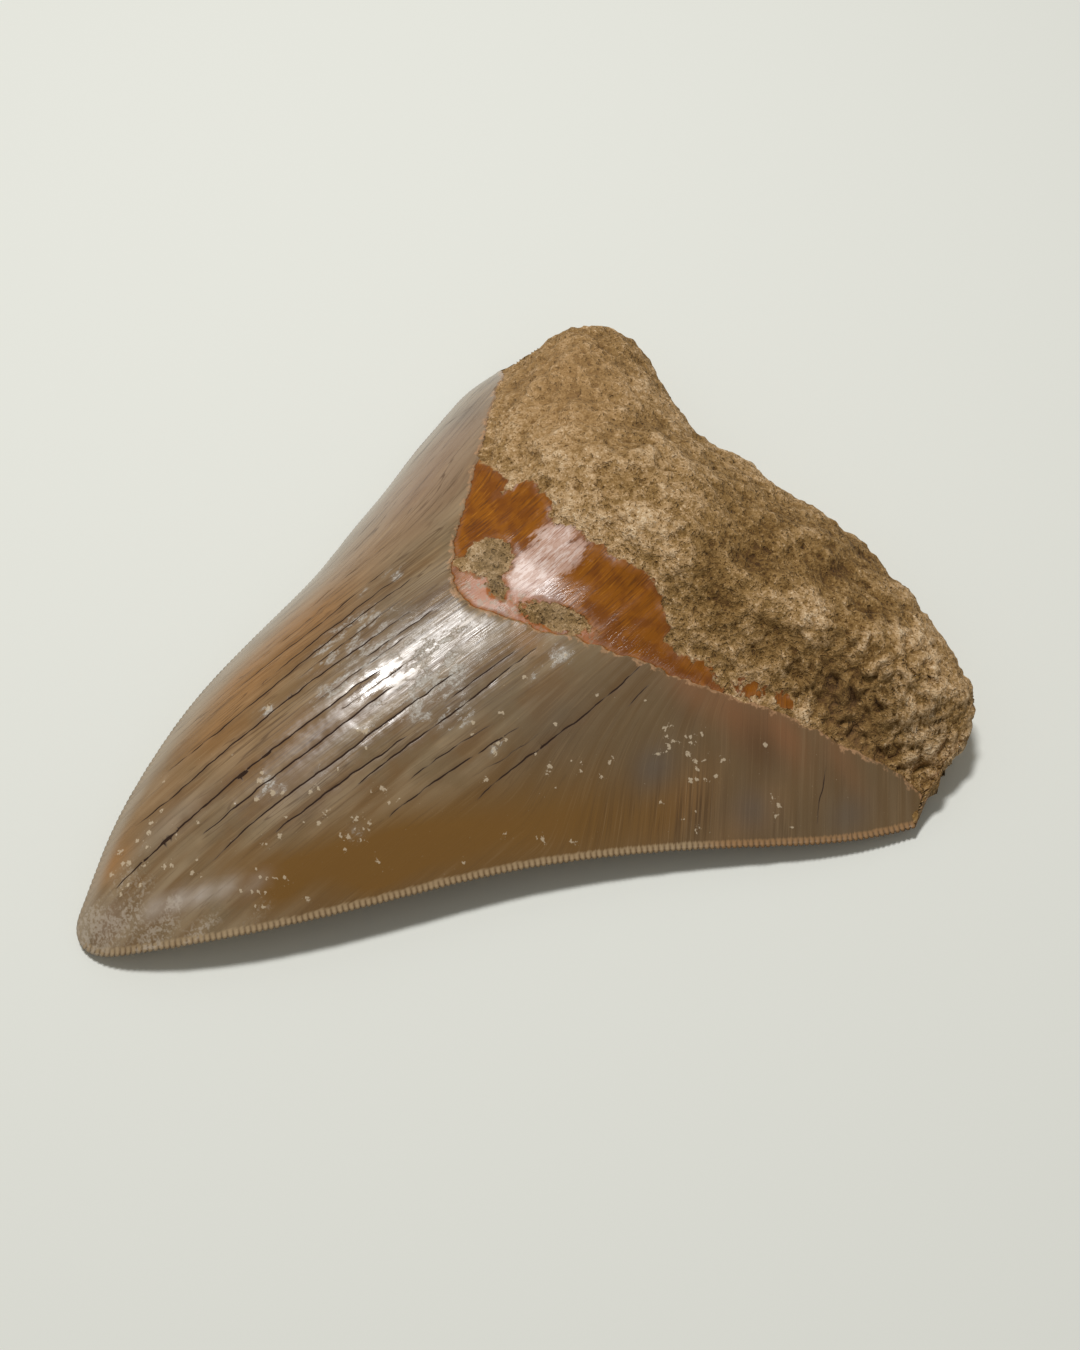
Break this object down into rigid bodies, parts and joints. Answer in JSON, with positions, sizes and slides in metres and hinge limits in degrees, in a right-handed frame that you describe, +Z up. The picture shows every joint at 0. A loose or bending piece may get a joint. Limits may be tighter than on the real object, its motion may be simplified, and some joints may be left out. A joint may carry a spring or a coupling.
{
  "type": "megalodon tooth",
  "caption": "Fossil megalodon tooth lying on its flat face: serrated triangular enamel crown, bare neck chevron and thick porous root with two lobes.",
  "frame": {"origin": "middle of the bounding box's bottom, in the plane of the flat labial face that the tooth rests on", "axes": "+Y from the crown's tip to the root, +X across the tooth, +Z up out of the bulging lingual face"},
  "size_m": [0.104, 0.1286, 0.0254],
  "materials": {
    "fossil": "glossy grey-brown to amber enamel, orange-brown polished neck, matt porous sandy tan root"
  },
  "bodies": {
    "root": {"tooth": "fossil"}
  },
  "joints": []
}
